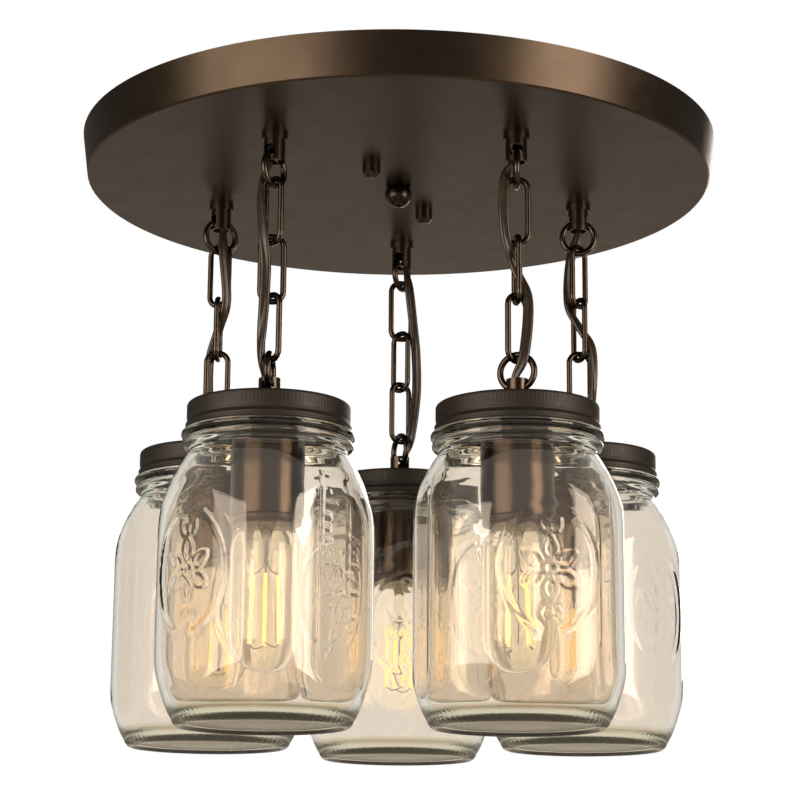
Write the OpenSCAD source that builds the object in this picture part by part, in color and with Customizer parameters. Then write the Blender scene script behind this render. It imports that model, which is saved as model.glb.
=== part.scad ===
// Semi-flush ceiling light with five glass jar pendants on short chains
// Origin at the centre of the ceiling plane, +Z up, the light hangs below it

/* [Canopy pan] */
// Outside diameter of the pan at the ceiling
canopy_top_d = 366; // [340:1:400]
// Outside diameter of the pan at its flat underside
canopy_low_d = 360; // [336:1:396]
// Height of the pan from ceiling to underside
canopy_h = 24; // [22:0.5:40]
// Sheet thickness of the pan
canopy_wall = 1.2; // [0.8:0.1:2]
// Bevel round the lower edge of the pan
canopy_edge = 1; // [0.4:0.1:3]

/* [Pendant layout] */
// Distance of each pendant from the centre
pendant_radius = 112; // [108:1:125]

/* [Ceiling straps] */
// Width of both straps
strap_w = 16; // [14:1:20]
// Thickness of each strap
strap_t = 2; // [1.5:0.5:3]
// Length of the strap that goes on the outlet box
box_strap_l = 110; // [104:1:120]
// Centre distance of the two outlet box slots
box_slot_spacing = 79.4; // [76:0.1:82]
// End to end length of an outlet box slot
box_slot_l = 14.6; // [12:0.1:16]
// Width of an outlet box slot
box_slot_w = 5; // [4.4:0.1:6]
// Length of the strap that carries the two studs
stud_strap_l = 105; // [100:1:120]
// Distance between the two studs
stud_spacing = 88.9; // [80:0.1:92]
// Turn of the stud strap seen from above
stud_strap_turn = 71; // [60:1:120]
// Diameter of the studs
stud_d = 4.1; // [3:0.1:5]
// Clearance of a stud or the nipple in a plain hole, on the radius
hole_play = 0.35; // [0.2:0.05:1]

/* [Nuts and knob] */
// Diameter of a cap nut
cap_nut_d = 10.2; // [9:0.1:14]
// Height of a cap nut
cap_nut_h = 8; // [7:0.1:12]
// Diameter of the centre nipple
nipple_d = 9.6; // [9:0.1:10]
// Diameter of the ball knob
knob_d = 15.6; // [15:0.1:22]
// Height of the ball knob's centre below its flat seat
knob_drop = 3.9; // [3:0.1:5]
// Depth of the threaded hole in the ball knob
knob_bore_h = 6; // [4:0.5:7]

/* [Loops] */
// Flange diameter of a loop
loop_flange_d = 14.4; // [13:0.1:18]
// Flange height of a loop
loop_flange_h = 3; // [2:0.1:4]
// Body diameter of a loop
loop_body_d = 11.8; // [11.6:0.1:12.2]
// Whole height of a loop below its seat
loop_h = 15.3; // [15:0.1:18]
// Height of the ring's hole above the loop's free end
loop_hole_up = 5.4; // [5.4:0.1:6]
// Diameter of a loop's main bore
loop_bore_d = 9.4; // [9.4:0.1:9.6]
// Diameter of a loop's threaded stem
stem_d = 9.6; // [9:0.1:10]
// Bore through a loop's stem
stem_bore_d = 6.6; // [6:0.1:7]
// Stem length of a canopy loop above its seat
canopy_stem_h = 8.5; // [7:0.5:10]
// Stem length of a lid loop below its seat
lid_stem_h = 8.5; // [7:0.5:10]
// Width of the slot that the ring passes through
ring_slot_w = 6.7; // [6.6:0.1:7]
// Width across flats of a loop nut
loop_nut_af = 14; // [13:0.5:16]
// Height of a loop nut
loop_nut_h = 3; // [2:0.5:4]

/* [Chains] */
// Wire diameter of the rings
ring_wire_d = 3.5; // [3:0.1:3.5]
// Outside diameter of the rings
ring_od = 22.5; // [22.2:0.1:23.4]
// Wire diameter of the links
link_wire_d = 3.3; // [2.8:0.1:3.4]
// Outside length of a link
link_l = 39.5; // [38:0.1:42]
// Outside width of a link
link_w = 15.8; // [15.6:0.1:17]
// Straight part in the middle of each end of a link
link_flat = 1.2; // [1:0.1:3]
// Gap at the butt joint in one leg of a link
link_seam = 0.2; // [0.1:0.1:0.6]
// Play between one piece of the chain and the next
chain_play = 0.2; // [0.1:0.05:0.4]

/* [Cords] */
// Thickness of the flat twin cord
cord_t = 2.9; // [2.4:0.1:2.9]
// Thickness of the cord where a loop squeezes it
cord_squeezed_t = 2.2; // [2:0.1:2.2]
// Least clearance of the cord in a loop
cord_play = 0.3; // [0.3:0.05:0.4]

/* [Splice connectors] */
// Length of a splice connector
splice_l = 18; // [14:1:24]
// Width of a splice connector
splice_w = 11; // [9:1:14]
// Height of a splice connector
splice_h = 7.5; // [7:0.5:9]

/* [Lids] */
// Greatest outside diameter of the screw band
band_d = 88; // [87.4:0.1:89]
// Outside diameter of the band's plain upper wall
band_wall_d = 86.8; // [86:0.1:87.2]
// Inside diameter of the band
band_bore_d = 84.6; // [84.6:0.1:85]
// Inside diameter of the band's top lip
band_lip_d = 76; // [70:1:78]
// Thickness of the band's top lip
band_lip_t = 0.5; // [0.4:0.1:1]
// Height of the band
band_h = 14.5; // [14:0.1:15]
// Height of the bead round the band's lower edge
band_bead_h = 3.1; // [2.5:0.1:4]
// Diameter of the flat lid disc
disc_d = 83.8; // [83:0.1:84]
// Thickness of the flat lid disc
disc_t = 0.6; // [0.4:0.1:1]
// Gap between the lid disc and what it lies against
disc_play = 0.05; // [0.05:0.05:0.2]
// Travel of the jar for each turn of the band
thread_pitch = 6.35; // [5:0.05:7]

/* [Jars] */
// Height of a glass jar
jar_h = 169; // [165:1:176]
// Width of the jar across its flat faces
jar_w = 105; // [100:1:108]
// Radius of the jar's four upright corners
jar_corner_r = 42; // [36:1:42]
// Greatest diameter of the jar before its faces are flattened
jar_round_d = 115; // [114.8:0.1:118]
// Inside diameter of the jar's mouth
mouth_d = 76.4; // [74:0.1:77]
// Outside diameter of the jar's mouth
mouth_od = 81.6; // [80:0.1:82]
// Diameter over the thread on the mouth
thread_d = 83.6; // [83:0.1:83.8]
// Diameter of the upper bead below the band
bead1_d = 92; // [90:0.5:94]
// Diameter of the lower bead below the band
bead2_d = 90.6; // [89:0.1:92]
// Diameter of the neck below the beads
neck_d = 84; // [83:0.5:86]
// Gap between the band and the upper bead
bead_gap = 0.5; // [0.4:0.1:1]
// Radius of the shoulder curve seen from the side
shoulder_r = 80; // [78:1:84]
// Height of the shoulder between the neck and the widest part
shoulder_h = 48.6; // [46:0.1:52]
// Wall thickness of the jar
jar_wall = 3.5; // [3:0.1:4]
// Thickness of the jar's base
jar_base_t = 8; // [6:0.5:10]
// Diameter of the ring that the jar stands on
foot_d = 86; // [80:1:88]
// Height of the hollow under the base
punt_h = 2; // [1:0.5:3]

/* [Sockets and bulbs] */
// Outside diameter of the socket cup
cup_d = 39.2; // [38:0.1:44]
// Length of the socket cup below the lid disc
cup_h = 59.5; // [56:0.5:64]
// Diameter of the lip below the cup
lip_d = 37.6; // [36:0.1:38]
// Height of the lip below the cup
lip_h = 4; // [3:0.5:6]
// Diameter of the bulb's screw base
base_d = 26; // [25.5:0.1:26]
// Clearance round the bulb's base, on the radius
base_play = 0.35; // [0.3:0.05:0.5]
// Depth of the bore for the bulb's base
base_bore_h = 31; // [29:0.5:33]
// Depth of the wiring space above the bulb's bore
wire_space_h = 20; // [16:1:22]
// Diameter of the bulb's glass tube
bulb_d = 38; // [30:0.5:40]
// Height of the bulb from its tip to its contact
bulb_h = 107; // [96:1:110]
// Wall thickness of the bulb's glass
bulb_wall = 1; // [0.8:0.1:1.5]

/* [Hidden] */
$fn = 96;
eps = 0.01;
pan_z = -canopy_h;
pan_floor = pan_z + canopy_wall;
ring_r = (ring_od - ring_wire_d) / 2;
link_r = (link_w - link_wire_d) / 2;
link_pitch = link_l - link_wire_d;
ring_to_link = (ring_wire_d + link_wire_d) / 2 + chain_play;
link_to_link = link_wire_d + chain_play;
hole1_z = pan_z - loop_h + loop_hole_up;
ring1_z = hole1_z - ring_r;
link1_top = ring1_z - ring_r + ring_to_link;
link2_top = link1_top - link_pitch + link_to_link;
link3_top = link2_top - link_pitch + link_to_link;
ring2_z = link3_top - link_pitch + ring_to_link - ring_r;
hole2_z = ring2_z - ring_r;
disc_z = hole2_z + loop_hole_up - loop_h;
band_z = disc_z + disc_play + band_lip_t;
disc_low = disc_z - disc_t;
mouth_z = disc_low - disc_play;
base_z = mouth_z - jar_h;
cup_z = disc_low;
cup_low = cup_z - cup_h;
lip_z = cup_low - lip_h;
wire_floor = lip_z + base_bore_h + 4;
bulb_top = lip_z + base_bore_h - 1;
bulb_tip = bulb_top - bulb_h;
bead1_top = band_z - band_h - bead_gap;
neck_z = bead1_top - 10.6;
barrel_z = neck_z - shoulder_h;
ring_hole_r = ring_wire_d / 2 + 0.3;

// Pendants in order: back, left, front left, front right, right
pendant_turn = [90, 162, 234, 306, 18];
ring1_yaw = [65, 30, 60, 90, 0];
link1_yaw = [10, -25, -45, 0, 50];
link2_yaw = [-45, 85, 12, 100, -62];
link3_yaw = [35, 5, -42, 38, 12];
ring2_yaw = [-65, 80, 84, -20, 90];
jar_yaw = [10, 30, -44, 16, 52];
// Side of the ring that the cord passes on, in the upper and the lower loop
cord_top_side = [-1, -1, 1, 1, 1];
cord_low_side = [1, 1, 1, -1, -1];
// Free run of each cord beside its chain: x, y, z and the turn of its flat side
cord_runs = [
    [
        [5, -3.8, -54, 20], [7.8, -2.6, -78, 10], [9.6, -1.2, -98, -10], [9.8, -1.6, -122, -10],
        [6.4, -2.8, -149, -10],
    ],
    [
        [2.4, -6, -54, -10], [5.1, -6.5, -84, -10], [0.3, 0, -100, 20], [-5, 4.5, -119, 40],
        [-4.6, 5, -149, 40],
    ],
    [
        [-7, -1.5, -54, 100], [-4.6, -6, -82, 160], [-3, -5, -100, 180], [-3.6, -4.6, -121, 180],
        [-4.8, -4, -149, 110],
    ],
    [
        [-6.6, -4.6, -52, 10], [-6.4, -5, -80, 10], [-0.6, -0.6, -100, 30], [5.8, -2.4, -118, 10],
        [3.6, -5.4, -148, 0],
    ],
    [
        [-4.6, 3.4, -56, 10], [-6.4, 1.2, -84, 40], [-0.2, 0, -98, 40], [7.2, -2.4, -114, 15],
        [6.4, -4, -148, 60],
    ],
];

bronze = "#3a3029";
dark_bronze = "#2b241f";
cord_brown = "#3d2c20";
steel = "#9a9a98";
glass = [0.80, 0.84, 0.78, 0.45];
bulb_glass = [0.96, 0.84, 0.60, 0.60];
black_plastic = "#202020";

// Moves its children to the axis of pendant k
module at_pendant(k) {
    a = pendant_turn[k];
    translate([pendant_radius * cos(a), pendant_radius * sin(a), 0]) children();
}

// Moves its children to both studs
module at_studs() {
    for (s = [-1, 1]) rotate([0, 0, stud_strap_turn]) translate([s * stud_spacing / 2, 0, 0]) children();
}

// Pan: a shallow steel dish, open at the ceiling
module canopy_pan() {
    rt = canopy_top_d / 2;
    rl = canopy_low_d / 2;
    color(bronze) difference() {
        rotate_extrude($fn = 180) polygon([
            [0, pan_z], [rl - canopy_edge, pan_z], [rl, pan_z + canopy_edge], [rt, 0],
            [rt - canopy_wall, 0], [rl - canopy_wall, pan_floor], [0, pan_floor],
        ]);
        for (k = [0:4]) at_pendant(k) pan_hole(stem_d);
        at_studs() pan_hole(stud_d);
        pan_hole(nipple_d);
    }
}

module pan_hole(d) {
    translate([0, 0, pan_z - 1]) cylinder(r = d / 2 + hole_play, h = canopy_wall + 2);
}

// Loop that stands down from z = 0, with its stem above and a slotted hole for a ring
module ring_loop(yaw, stem_h) {
    hole_z = loop_hole_up - loop_h;
    difference() {
        union() {
            translate([0, 0, -loop_flange_h]) cylinder(d = loop_flange_d, h = loop_flange_h);
            translate([0, 0, -loop_h]) cylinder(d = loop_body_d, h = loop_h - loop_flange_h);
            cylinder(d = stem_d, h = stem_h);
        }
        translate([0, 0, -loop_h - 1]) cylinder(d = loop_bore_d, h = loop_h + 1);
        translate([0, 0, -1]) cylinder(d = stem_bore_d, h = stem_h + 2);
        translate([0, 0, hole_z]) rotate([0, 0, yaw]) ring_slot();
    }
}

// Depth of the ring's wire below the hole's axis at a distance x from the middle
function wire_depth(x) = ring_r - sqrt(pow(ring_r - ring_wire_d / 2, 2) - x * x) + 0.3;

// Slot that follows the curve of the ring and leaves room for it to tilt
module ring_slot() {
    x1 = loop_bore_d / 2 - 2;
    x2 = loop_body_d / 2;
    x3 = x2 + 0.8;
    throat = loop_bore_d / 2 + 0.5;
    r1 = wire_depth(throat);
    r2 = wire_depth(x2);
    r3 = r2 + (r2 - r1) * (x3 - x2) / (x2 - throat);
    for (s = [0, 180]) rotate([0, 0, s]) intersection() {
        union() {
            translate([x1, 0, 0]) rotate([0, 90, 0]) cylinder(r = r1, h = throat - x1);
            translate([throat, 0, 0]) rotate([0, 90, 0]) cylinder(r1 = r1, r2 = r3, h = x3 - throat);
        }
        translate([0, -ring_slot_w / 2, -r3 - 1]) cube([x3 + 1, ring_slot_w, r3 + 1 + ring_slot_w / 2]);
    }
}

module canopy_loops() {
    color(dark_bronze) for (k = [0:4]) at_pendant(k) translate([0, 0, pan_z])
        ring_loop(ring1_yaw[k], canopy_stem_h);
}

module loop_nuts() {
    color(steel) for (k = [0:4]) at_pendant(k) translate([0, 0, pan_floor]) difference() {
        cylinder(d = loop_nut_af / cos(30), h = loop_nut_h, $fn = 6);
        translate([0, 0, -1]) cylinder(d = stem_d, h = loop_nut_h + 2);
    }
}

// Strap that the outlet box screws go through
module box_strap() {
    color(steel) difference() {
        translate([-box_strap_l / 2, -strap_w / 2, -strap_t]) cube([box_strap_l, strap_w, strap_t]);
        for (s = [-1, 1]) translate([s * box_slot_spacing / 2, 0, -strap_t - 1]) slot_cut();
        translate([0, 0, -strap_t - 1]) cylinder(d = nipple_d, h = strap_t + 2);
    }
}

module slot_cut() {
    run = box_slot_l - box_slot_w;
    for (s = [-1, 1]) translate([s * run / 2, 0, 0]) cylinder(d = box_slot_w, h = strap_t + 2);
    translate([-run / 2, -box_slot_w / 2, 0]) cube([run, box_slot_w, strap_t + 2]);
}

// Strap that carries the two studs, turned on the centre nipple
module stud_strap() {
    color(steel) difference() {
        rotate([0, 0, stud_strap_turn]) translate([-stud_strap_l / 2, -strap_w / 2, -2 * strap_t])
            cube([stud_strap_l, strap_w, strap_t]);
        at_studs() translate([0, 0, -2 * strap_t - 1]) cylinder(d = stud_d, h = strap_t + 2);
        translate([0, 0, -2 * strap_t - 1]) cylinder(d = nipple_d, h = strap_t + 2);
    }
}

module mount_studs() {
    stud_low = pan_z - cap_nut_h + 3;
    color(steel) at_studs() translate([0, 0, stud_low]) cylinder(d = stud_d, h = -strap_t - stud_low);
}

// Round nuts with domed ends that hold the pan up
module cap_nuts() {
    r = cap_nut_d / 2;
    color(dark_bronze) at_studs() translate([0, 0, pan_z]) difference() {
        rotate_extrude() union() {
            translate([0, -cap_nut_h + 2]) square([r - 1, cap_nut_h - 2]);
            polygon([
                [0, 0], [r, 0], [r, -cap_nut_h + 2.4], [r - 1.2, -cap_nut_h + 0.8],
                [r - 2.8, -cap_nut_h], [0, -cap_nut_h],
            ]);
        }
        translate([0, 0, -cap_nut_h + 3]) cylinder(d = stud_d, h = cap_nut_h);
    }
}

module center_nipple() {
    nipple_low = pan_z - knob_bore_h;
    color(steel) translate([0, 0, nipple_low]) difference() {
        cylinder(d = nipple_d, h = -nipple_low);
        translate([0, 0, -1]) cylinder(d = nipple_d - 3, h = 2 - nipple_low);
    }
}

// Ball with a flat seat, closing the centre of the pan
module ball_knob() {
    color(dark_bronze) translate([0, 0, pan_z]) difference() {
        translate([0, 0, -knob_drop]) sphere(d = knob_d);
        translate([-knob_d, -knob_d, 0]) cube([2 * knob_d, 2 * knob_d, knob_d]);
        translate([0, 0, -knob_bore_h]) cylinder(d = nipple_d, h = knob_bore_h + 1);
    }
}

// Splice connector of each cord, lying on the pan's floor
module splice_connectors() {
    color(black_plastic) for (k = [0:4]) at_pendant(k) rotate([0, 0, pendant_turn[k] + 180])
        translate([splice_x, -splice_w / 2, pan_floor]) cube([splice_l, splice_w, splice_h]);
}

module wire_ring(r, wire_d) {
    rotate([90, 0, 0]) rotate_extrude() translate([r, 0]) circle(d = wire_d, $fn = 48);
}

module top_ring(k) {
    color(dark_bronze) at_pendant(k) translate([0, 0, ring1_z]) rotate([0, 0, ring1_yaw[k]])
        wire_ring(ring_r, ring_wire_d);
}

module low_ring(k) {
    color(dark_bronze) at_pendant(k) translate([0, 0, ring2_z]) rotate([0, 0, ring2_yaw[k]])
        wire_ring(ring_r, ring_wire_d);
}

// Oval link hanging from z = 0 at the middle of its top wire, with a butt joint in one leg
module link(seam_side) {
    bend_r = link_r - link_flat / 2;
    leg = link_pitch - 2 * bend_r;
    difference() {
        union() {
            for (s = [-1, 1]) translate([s * link_r, 0, -bend_r - leg])
                cylinder(d = link_wire_d, h = leg, $fn = 48);
            link_end(bend_r);
            translate([0, 0, -link_pitch]) mirror([0, 0, 1]) link_end(bend_r);
        }
        translate([seam_side * link_r - 3, -3, -link_pitch / 2]) cube([6, 6, link_seam]);
    }
}

// End of a link: two bends and the short straight part between them
module link_end(bend_r) {
    translate([-link_flat / 2, 0, 0]) rotate([0, 90, 0]) cylinder(d = link_wire_d, h = link_flat, $fn = 48);
    for (s = [0, 180]) rotate([0, 0, s]) translate([link_flat / 2, 0, -bend_r]) rotate([90, 0, 0])
        rotate_extrude(angle = 90) translate([bend_r, 0]) circle(d = link_wire_d, $fn = 48);
}

module links(k) {
    color(dark_bronze) at_pendant(k) {
        translate([0, 0, link1_top]) rotate([0, 0, link1_yaw[k]]) link(1);
        translate([0, 0, link2_top]) rotate([0, 0, link2_yaw[k]]) link(-1);
        translate([0, 0, link3_top]) rotate([0, 0, link3_yaw[k]]) link(1);
    }
}

// Places beside a ring's wire where the cord passes through a loop
cord_off = ring_wire_d / 2 + cord_play + cord_squeezed_t / 2;
function side_x(yaw, s) = -s * cord_off * sin(yaw);
function side_y(yaw, s) = s * cord_off * cos(yaw);
splice_x = 36;
// Flat side of the cord at its inner end, square to the way it runs
function inner_turn(k) = pendant_turn[k] + 90 - 180 * round((pendant_turn[k] + 90 - ring1_yaw[k]) / 180);

// Whole route of a cord from its splice connector to its socket: x, y, z, turn and thickness
function cord_route(k) =
    let (a = pendant_turn[k] + 180, ca = cos(a), sa = sin(a), w = inner_turn(k))
    let (y1 = ring1_yaw[k], x1 = side_x(y1, cord_top_side[k]), q1 = side_y(y1, cord_top_side[k]))
    let (y2 = ring2_yaw[k], x2 = side_x(y2, cord_low_side[k]), q2 = side_y(y2, cord_low_side[k]))
    let (c = cord_squeezed_t)
    [
        [splice_x * ca, splice_x * sa, pan_floor + splice_h / 2, w, cord_t],
        [15 * ca, 15 * sa, pan_floor + splice_h / 2, w, cord_t],
        [4 * ca, 4 * sa, pan_z + 15.5, w, c],
        [0, 0, pan_z + 11, w, c],
        [0, 0, pan_z + 1, y1, c],
        [x1, q1, hole1_z + 2.6, y1, c],
        [x1, q1, pan_z - loop_h - 0.8, y1, c],
        for (p = cord_runs[k]) [p[0], p[1], p[2], p[3], cord_t],
        [x2, q2, disc_z + loop_h + 0.8, y2, c],
        [x2, q2, hole2_z - 2.6, y2, c],
        [0, 0, disc_z - 1, y2, c],
        [0, 0, wire_floor, y2, c],
    ];

// Sweep of a flat section along a route
function unit(v) = v / norm(v);
function along(p, i) = unit([for (j = [0:2]) p[min(i + 1, len(p) - 1)][j] - p[max(i - 1, 0)][j]]);
function section(p, i) =
    let (t = along(p, i), w = p[i][3], r = p[i][4] / 2, at = [p[i][0], p[i][1], p[i][2]])
    let (raw = [cos(w), sin(w), 0], flat = unit(raw - (raw * t) * t), thick = cross(t, flat))
    [for (n = [0:9]) let (b = 36 * n + 18, side = sign(cos(b)) * min(1, abs(cos(b)) * 4))
        at + r * (side + cos(b)) * flat + r * sin(b) * thick];

module swept_cord(p) {
    n = len(p);
    rings = [for (i = [0:n - 1]) each section(p, i)];
    sides = [for (i = [0:n - 2], j = [0:9]) let (a = 10 * i + j, b = 10 * i + (j + 1) % 10)
        each [[a, b, b + 10], [a, b + 10, a + 10]]];
    ends = [[for (j = [9:-1:0]) j], [for (j = [0:9]) 10 * (n - 1) + j]];
    polyhedron(rings, concat(ends, sides));
}

module cord(k) {
    color(cord_brown) at_pendant(k) swept_cord(cord_route(k));
}

module lid_loop(k) {
    color(dark_bronze) at_pendant(k) translate([0, 0, disc_z]) mirror([0, 0, 1])
        ring_loop(ring2_yaw[k], lid_stem_h);
}

module lid_disc(k) {
    color(bronze) at_pendant(k) translate([0, 0, disc_low]) difference() {
        cylinder(d = disc_d, h = disc_t);
        translate([0, 0, -1]) cylinder(r = stem_d / 2 + 0.1, h = disc_t + 2);
    }
}

// Ring with an inward lip, a groove and a beaded lower edge
module screw_band(k) {
    ro = band_wall_d / 2;
    rb = band_d / 2;
    ri = band_bore_d / 2;
    groove = ri + 0.6;
    bead_top = -band_h + band_bead_h;
    color(bronze) at_pendant(k) translate([0, 0, band_z]) rotate_extrude() polygon([
        [band_lip_d / 2, 0], [ro - 1, 0], [ro, -1], [ro, bead_top + 2.8], [groove, bead_top + 2.2],
        [groove, bead_top + 1], [rb, bead_top], [rb, -band_h + 0.9], [ro, -band_h], [ri, -band_h],
        [ri, -band_lip_t], [band_lip_d / 2, -band_lip_t],
    ]);
}

// Cup with the lampholder inside it: wiring space above, bore for the bulb below
module socket(k) {
    r = cup_d / 2;
    color(dark_bronze) at_pendant(k) difference() {
        rotate_extrude() polygon([
            [0, cup_z], [r - 2.6, cup_z], [r, cup_z - 3], [r, cup_low],
            [lip_d / 2, cup_low], [lip_d / 2, lip_z], [0, lip_z],
        ]);
        translate([0, 0, cup_z - lid_stem_h]) cylinder(d = stem_d, h = lid_stem_h + 1);
        translate([0, 0, wire_floor]) cylinder(d = 28, h = wire_space_h);
        translate([0, 0, lip_z - 1]) cylinder(r = base_d / 2 + base_play, h = base_bore_h + 1);
    }
}

// Tubular bulb with a screw base and a hollow glass tube
module bulb(k) {
    r = bulb_d / 2;
    n = base_d / 2;
    base_low = bulb_top - 26;
    color(bulb_glass) at_pendant(k) rotate_extrude() difference() {
        bulb_outline(r, n, base_low, 0);
        bulb_outline(r - bulb_wall, n - bulb_wall - 1, base_low, 1);
    }
}

module bulb_outline(r, n, base_low, inner) {
    tip = bulb_tip + r + (inner ? bulb_wall : 0);
    intersection() {
        union() {
            polygon([
                [0, base_low], [n, base_low], [n, base_low - 5], [r - 2, base_low - 9.5],
                [r, base_low - 14], [r, tip], [0, tip],
            ]);
            polygon([[0, tip + 1], for (a = [0:10:90]) [r * cos(a), tip - r * sin(a)]]);
            if (!inner) polygon([
                [0, bulb_top], [4, bulb_top], [5, bulb_top - 2], [n, bulb_top - 3.5],
                [n, base_low], [0, base_low],
            ]);
        }
        translate([0, bulb_tip - 1]) square([60, bulb_h + 2]);
    }
}

// Glass jar: a turned form with its sides flattened to a rounded square
module jar(k) {
    color(glass) at_pendant(k) rotate([0, 0, jar_yaw[k]]) difference() {
        intersection() {
            rotate_extrude() polygon(jar_outside());
            rounded_square(jar_w, jar_corner_r);
        }
        intersection() {
            rotate_extrude() polygon(jar_inside());
            rounded_square(jar_w - 2 * jar_wall, jar_corner_r - jar_wall);
        }
        translate([0, 0, base_z - eps]) cylinder(r1 = foot_d / 2 - 5, r2 = foot_d / 2 - 9, h = punt_h);
    }
}

module rounded_square(w, r) {
    translate([0, 0, base_z - 1]) linear_extrude(jar_h + 3) union() {
        square([w, w - 2 * r], center = true);
        square([w - 2 * r, w], center = true);
        for (x = [-1, 1], y = [-1, 1]) translate([x * (w / 2 - r), y * (w / 2 - r)]) circle(r = r);
    }
}

// Points down the shoulder from the neck to the barrel, drawn in by inset
function shoulder(inset) =
    let (rs = shoulder_r - inset, cx = jar_round_d / 2 - shoulder_r, top = neck_z - barrel_z)
    [for (i = [0:6]) let (z = top * (1 - i / 6)) [cx + sqrt(rs * rs - z * z), barrel_z + z]];

function thread_turn(z) =
    let (m = mouth_od / 2, h = thread_d / 2)
    [[m, z], [h, z - 0.8], [h, z - 1.8], [m, z - 2.6]];

function jar_outside() =
    let (b1 = bead1_d / 2, b2 = bead2_d / 2, m = mouth_od / 2, t = bead1_top)
    let (rr = jar_round_d / 2, f = foot_d / 2)
    concat(
        [[0, mouth_z], [m - 0.6, mouth_z], [m, mouth_z - 0.6]],
        thread_turn(mouth_z - 3),
        thread_turn(mouth_z - 3 - thread_pitch / 2),
        [[m, t], [b1 - 1, t], [b1, t - 1.2], [b1, t - 2.8], [b1 - 1.2, t - 4.2], [b2 - 1.8, t - 4.8]],
        [[b2 - 1.8, t - 5.4], [b2, t - 6.4], [b2, t - 8], [b2 - 1.4, t - 9.4], [neck_d / 2, t - 10]],
        shoulder(0),
        [[rr, base_z + 38], [f + 9.5, base_z + 18], [f + 5, base_z + 6], [f, base_z], [0, base_z]]
    );

function jar_inside() =
    let (mi = mouth_d / 2, rr = jar_round_d / 2 - jar_wall, f = foot_d / 2)
    concat(
        [[0, mouth_z + 1], [mi, mouth_z + 1], [mi, neck_z + 1]],
        shoulder(jar_wall),
        [[rr, base_z + 38], [f + 6, base_z + 19], [f + 1, base_z + jar_base_t + 2]],
        [[f - 5, base_z + jar_base_t], [0, base_z + jar_base_t]]
    );

canopy_pan();
canopy_loops();
loop_nuts();
box_strap();
stud_strap();
mount_studs();
cap_nuts();
center_nipple();
ball_knob();
splice_connectors();
top_ring(0);  // top_ring_back
top_ring(1);  // top_ring_left
top_ring(2);  // top_ring_front_left
top_ring(3);  // top_ring_front_right
top_ring(4);  // top_ring_right
links(0);  // links_back
links(1);  // links_left
links(2);  // links_front_left
links(3);  // links_front_right
links(4);  // links_right
low_ring(0);  // low_ring_back
low_ring(1);  // low_ring_left
low_ring(2);  // low_ring_front_left
low_ring(3);  // low_ring_front_right
low_ring(4);  // low_ring_right
cord(0);  // cord_back
cord(1);  // cord_left
cord(2);  // cord_front_left
cord(3);  // cord_front_right
cord(4);  // cord_right
lid_loop(0);  // lid_loop_back
lid_loop(1);  // lid_loop_left
lid_loop(2);  // lid_loop_front_left
lid_loop(3);  // lid_loop_front_right
lid_loop(4);  // lid_loop_right
lid_disc(0);  // lid_disc_back
lid_disc(1);  // lid_disc_left
lid_disc(2);  // lid_disc_front_left
lid_disc(3);  // lid_disc_front_right
lid_disc(4);  // lid_disc_right
screw_band(0);  // screw_band_back
screw_band(1);  // screw_band_left
screw_band(2);  // screw_band_front_left
screw_band(3);  // screw_band_front_right
screw_band(4);  // screw_band_right
socket(0);  // socket_back
socket(1);  // socket_left
socket(2);  // socket_front_left
socket(3);  // socket_front_right
socket(4);  // socket_right
bulb(0);  // bulb_back
bulb(1);  // bulb_left
bulb(2);  // bulb_front_left
bulb(3);  // bulb_front_right
bulb(4);  // bulb_right
jar(0);  // jar_back
jar(1);  // jar_left
jar(2);  // jar_front_left
jar(3);  // jar_front_right
jar(4);  // jar_right
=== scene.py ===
import math

import bmesh
import bpy
import numpy as np
from mathutils import Matrix, Vector


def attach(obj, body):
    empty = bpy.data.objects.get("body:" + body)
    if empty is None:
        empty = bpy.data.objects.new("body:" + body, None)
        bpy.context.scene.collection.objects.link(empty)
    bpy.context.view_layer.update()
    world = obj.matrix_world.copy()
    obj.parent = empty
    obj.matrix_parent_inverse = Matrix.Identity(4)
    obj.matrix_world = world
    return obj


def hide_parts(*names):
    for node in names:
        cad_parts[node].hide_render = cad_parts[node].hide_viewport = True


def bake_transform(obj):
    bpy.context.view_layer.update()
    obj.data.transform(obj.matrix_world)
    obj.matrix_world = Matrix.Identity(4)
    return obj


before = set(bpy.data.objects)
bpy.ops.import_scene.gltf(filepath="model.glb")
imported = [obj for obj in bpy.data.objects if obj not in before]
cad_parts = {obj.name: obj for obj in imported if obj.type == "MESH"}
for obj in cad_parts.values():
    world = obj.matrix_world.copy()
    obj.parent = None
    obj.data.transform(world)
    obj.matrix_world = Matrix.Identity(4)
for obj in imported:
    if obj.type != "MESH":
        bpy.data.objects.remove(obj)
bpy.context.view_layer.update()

MM = 0.001

# The five pendants: turns in degrees, and the side of its ring that a cord passes in the upper and lower loop
SUFFIXES = ["back", "left", "front_left", "front_right", "right"]
PENDANT_TURN = {"back": 90, "left": 162, "front_left": 234, "front_right": 306, "right": 18}
JAR_YAW = {"back": 10, "left": 30, "front_left": -44, "front_right": 16, "right": 52}
TOP_RING_YAW = {"back": 65, "left": 30, "front_left": 60, "front_right": 90, "right": 0}
LOW_RING_YAW = {"back": -65, "left": 80, "front_left": 84, "front_right": -20, "right": 90}
CORD_TOP_SIDE = {"back": -1, "left": -1, "front_left": 1, "front_right": 1, "right": 1}
CORD_LOW_SIDE = {"back": 1, "left": 1, "front_left": 1, "front_right": -1, "right": -1}
PENDANT_RADIUS = 112.0

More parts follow.
